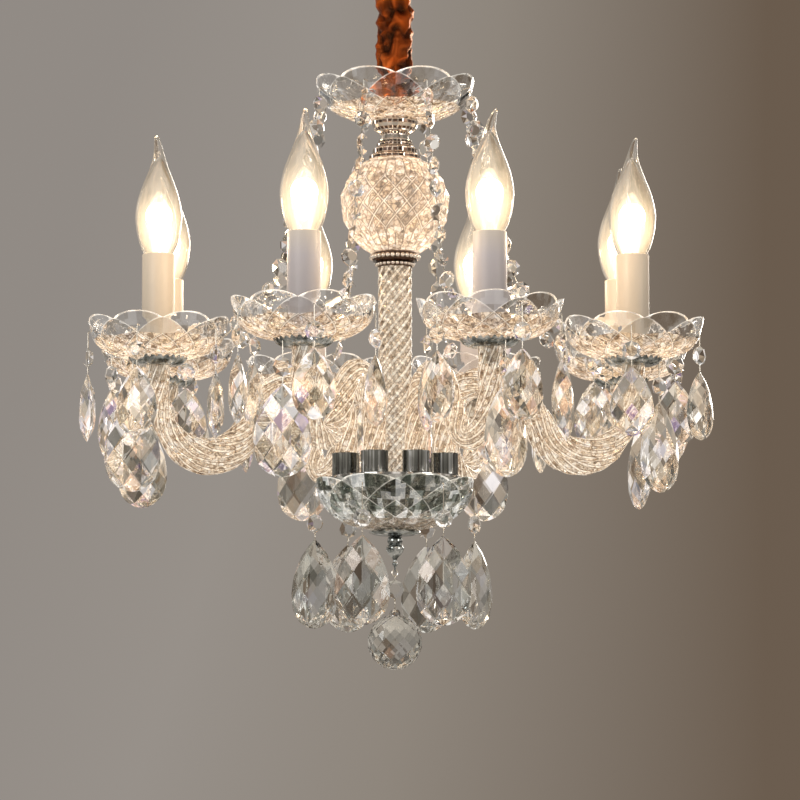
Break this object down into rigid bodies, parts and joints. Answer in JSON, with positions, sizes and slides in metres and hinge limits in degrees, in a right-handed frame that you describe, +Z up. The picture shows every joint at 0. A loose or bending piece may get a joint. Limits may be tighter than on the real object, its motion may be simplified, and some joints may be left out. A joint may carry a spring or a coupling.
{
  "type": "crystal chandelier",
  "caption": "Crystal chandelier with twisted glass S-arms, flame-bulb candles in scalloped dishes, bead strands, almond drops and a ball drop, on a fabric-sleeved chain.",
  "frame": {"origin": "centre of the ceiling strap's top face, where the fixture meets the ceiling", "axes": "+Z up into the ceiling; the pictured side faces -Y; +X to the right of it"},
  "size_m": [0.4616, 0.4578, 0.5546],
  "materials": {
    "strap_steel": "pressed zinc-plated steel",
    "canopy_brown": "copper-brown lacquer",
    "chrome": "polished chrome",
    "fabric_copper": "copper-brown satin, gathered",
    "cut_glass": "clear cut glass",
    "crystal": "clear diamond-cut crystal",
    "bulb_glass": "clear blown glass with a screw cap",
    "candle_white": "white satin plastic",
    "holder_plastic": "moulded lampholder plastic"
  },
  "bodies": {
    "ceiling": {"ceiling_strap": "strap_steel", "ceiling_canopy": "canopy_brown", "canopy_screws": "chrome", "ceiling_hook": "strap_steel"},
    "chain_run": {"chain": "strap_steel", "chain_sleeve": "fabric_copper"},
    "drop": {"ball_drop": "crystal"},
    "bowl_pendant_1": {"bowl_pendant_1": "crystal"},
    "bowl_pendant_2": {"bowl_pendant_2": "crystal"},
    "bowl_pendant_3": {"bowl_pendant_3": "crystal"},
    "bowl_pendant_4": {"bowl_pendant_4": "crystal"},
    "bowl_pendant_5": {"bowl_pendant_5": "crystal"},
    "bowl_pendant_6": {"bowl_pendant_6": "crystal"},
    "bulb_1": {"bulb_1": "bulb_glass"},
    "bulb_2": {"bulb_2": "bulb_glass"},
    "bulb_3": {"bulb_3": "bulb_glass"},
    "bulb_4": {"bulb_4": "bulb_glass"},
    "bulb_5": {"bulb_5": "bulb_glass"},
    "bulb_6": {"bulb_6": "bulb_glass"},
    "bulb_7": {"bulb_7": "bulb_glass"},
    "bulb_8": {"bulb_8": "bulb_glass"},
    "fixture": {"tube_nuts": "strap_steel", "arm_studs": "strap_steel", "centre_tube": "strap_steel", "hanging_loop": "chrome", "neck_pedestal": "chrome", "collar_ring": "chrome", "arm_plate": "chrome", "arm_pan": "chrome", "arm_cups": "chrome", "bottom_cap": "chrome", "finial": "chrome", "bobeche_ruffs": "chrome", "pendant_pins": "chrome", "strand_links": "chrome", "top_dish": "cut_glass", "urn": "cut_glass", "column": "cut_glass", "bottom_bowl": "cut_glass", "arm_1": "cut_glass", "arm_2": "cut_glass", "arm_3": "cut_glass", "arm_4": "cut_glass", "arm_5": "cut_glass", "arm_6": "cut_glass", "arm_7": "cut_glass", "arm_8": "cut_glass", "bobeche_1": "cut_glass", "bobeche_2": "cut_glass", "bobeche_3": "cut_glass", "bobeche_4": "cut_glass", "bobeche_5": "cut_glass", "bobeche_6": "cut_glass", "bobeche_7": "cut_glass", "bobeche_8": "cut_glass", "pendant_beads": "crystal", "pendant_almonds": "crystal", "strand_beads": "crystal", "candle_sleeves": "candle_white", "lampholders": "holder_plastic"}
  },
  "joints": [
    {"name": "chain_swing", "type": "hinge", "parent": "ceiling", "child": "chain_run", "pos_m": [0, 0, -0.0498], "axis": [1, 0, 0], "range_deg": [-5, 5]},
    {"name": "body_swing", "type": "hinge", "parent": "chain_run", "child": "fixture", "pos_m": [0, 0, -0.1148], "axis": [0, 1, 0], "range_deg": [-5, 5]},
    {"name": "drop_swing", "type": "hinge", "parent": "fixture", "child": "drop", "pos_m": [0, 0, -0.4818], "axis": [0, 1, 0], "range_deg": [-15, 15]},
    {"name": "bowl_pendant_1_swing", "type": "hinge", "parent": "fixture", "child": "bowl_pendant_1", "pos_m": [-0.05927, -0.00623, -0.42], "axis": [-0.1045, 0.9945, 0], "range_deg": [-4, 20]},
    {"name": "bowl_pendant_2_swing", "type": "hinge", "parent": "fixture", "child": "bowl_pendant_2", "pos_m": [-0.02424, -0.05445, -0.42], "axis": [-0.9135, 0.4067, 0], "range_deg": [-4, 20]},
    {"name": "bowl_pendant_3_swing", "type": "hinge", "parent": "fixture", "child": "bowl_pendant_3", "pos_m": [0.03503, -0.04822, -0.42], "axis": [-0.809, -0.5878, 0], "range_deg": [-4, 20]},
    {"name": "bowl_pendant_4_swing", "type": "hinge", "parent": "fixture", "child": "bowl_pendant_4", "pos_m": [0.05927, 0.00623, -0.42], "axis": [0.1045, -0.9945, 0], "range_deg": [-4, 20]},
    {"name": "bowl_pendant_5_swing", "type": "hinge", "parent": "fixture", "child": "bowl_pendant_5", "pos_m": [0.02424, 0.05445, -0.42], "axis": [0.9135, -0.4067, 0], "range_deg": [-4, 20]},
    {"name": "bowl_pendant_6_swing", "type": "hinge", "parent": "fixture", "child": "bowl_pendant_6", "pos_m": [-0.03503, 0.04822, -0.42], "axis": [0.809, 0.5878, 0], "range_deg": [-4, 20]},
    {"name": "bulb_1_turn", "type": "hinge", "parent": "fixture", "child": "bulb_1", "pos_m": [0.06521, -0.17313, -0.267], "axis": [0, 0, 1], "range_deg": [0, 900]},
    {"name": "bulb_2_turn", "type": "hinge", "parent": "fixture", "child": "bulb_2", "pos_m": [0.17313, -0.06521, -0.267], "axis": [0, 0, 1], "range_deg": [0, 900]},
    {"name": "bulb_3_turn", "type": "hinge", "parent": "fixture", "child": "bulb_3", "pos_m": [0.17313, 0.06521, -0.267], "axis": [0, 0, 1], "range_deg": [0, 900]},
    {"name": "bulb_4_turn", "type": "hinge", "parent": "fixture", "child": "bulb_4", "pos_m": [0.06521, 0.17313, -0.267], "axis": [0, 0, 1], "range_deg": [0, 900]},
    {"name": "bulb_5_turn", "type": "hinge", "parent": "fixture", "child": "bulb_5", "pos_m": [-0.06521, 0.17313, -0.267], "axis": [0, 0, 1], "range_deg": [0, 900]},
    {"name": "bulb_6_turn", "type": "hinge", "parent": "fixture", "child": "bulb_6", "pos_m": [-0.17313, 0.06521, -0.267], "axis": [0, 0, 1], "range_deg": [0, 900]},
    {"name": "bulb_7_turn", "type": "hinge", "parent": "fixture", "child": "bulb_7", "pos_m": [-0.17313, -0.06521, -0.267], "axis": [0, 0, 1], "range_deg": [0, 900]},
    {"name": "bulb_8_turn", "type": "hinge", "parent": "fixture", "child": "bulb_8", "pos_m": [-0.06521, -0.17313, -0.267], "axis": [0, 0, 1], "range_deg": [0, 900]}
  ]
}
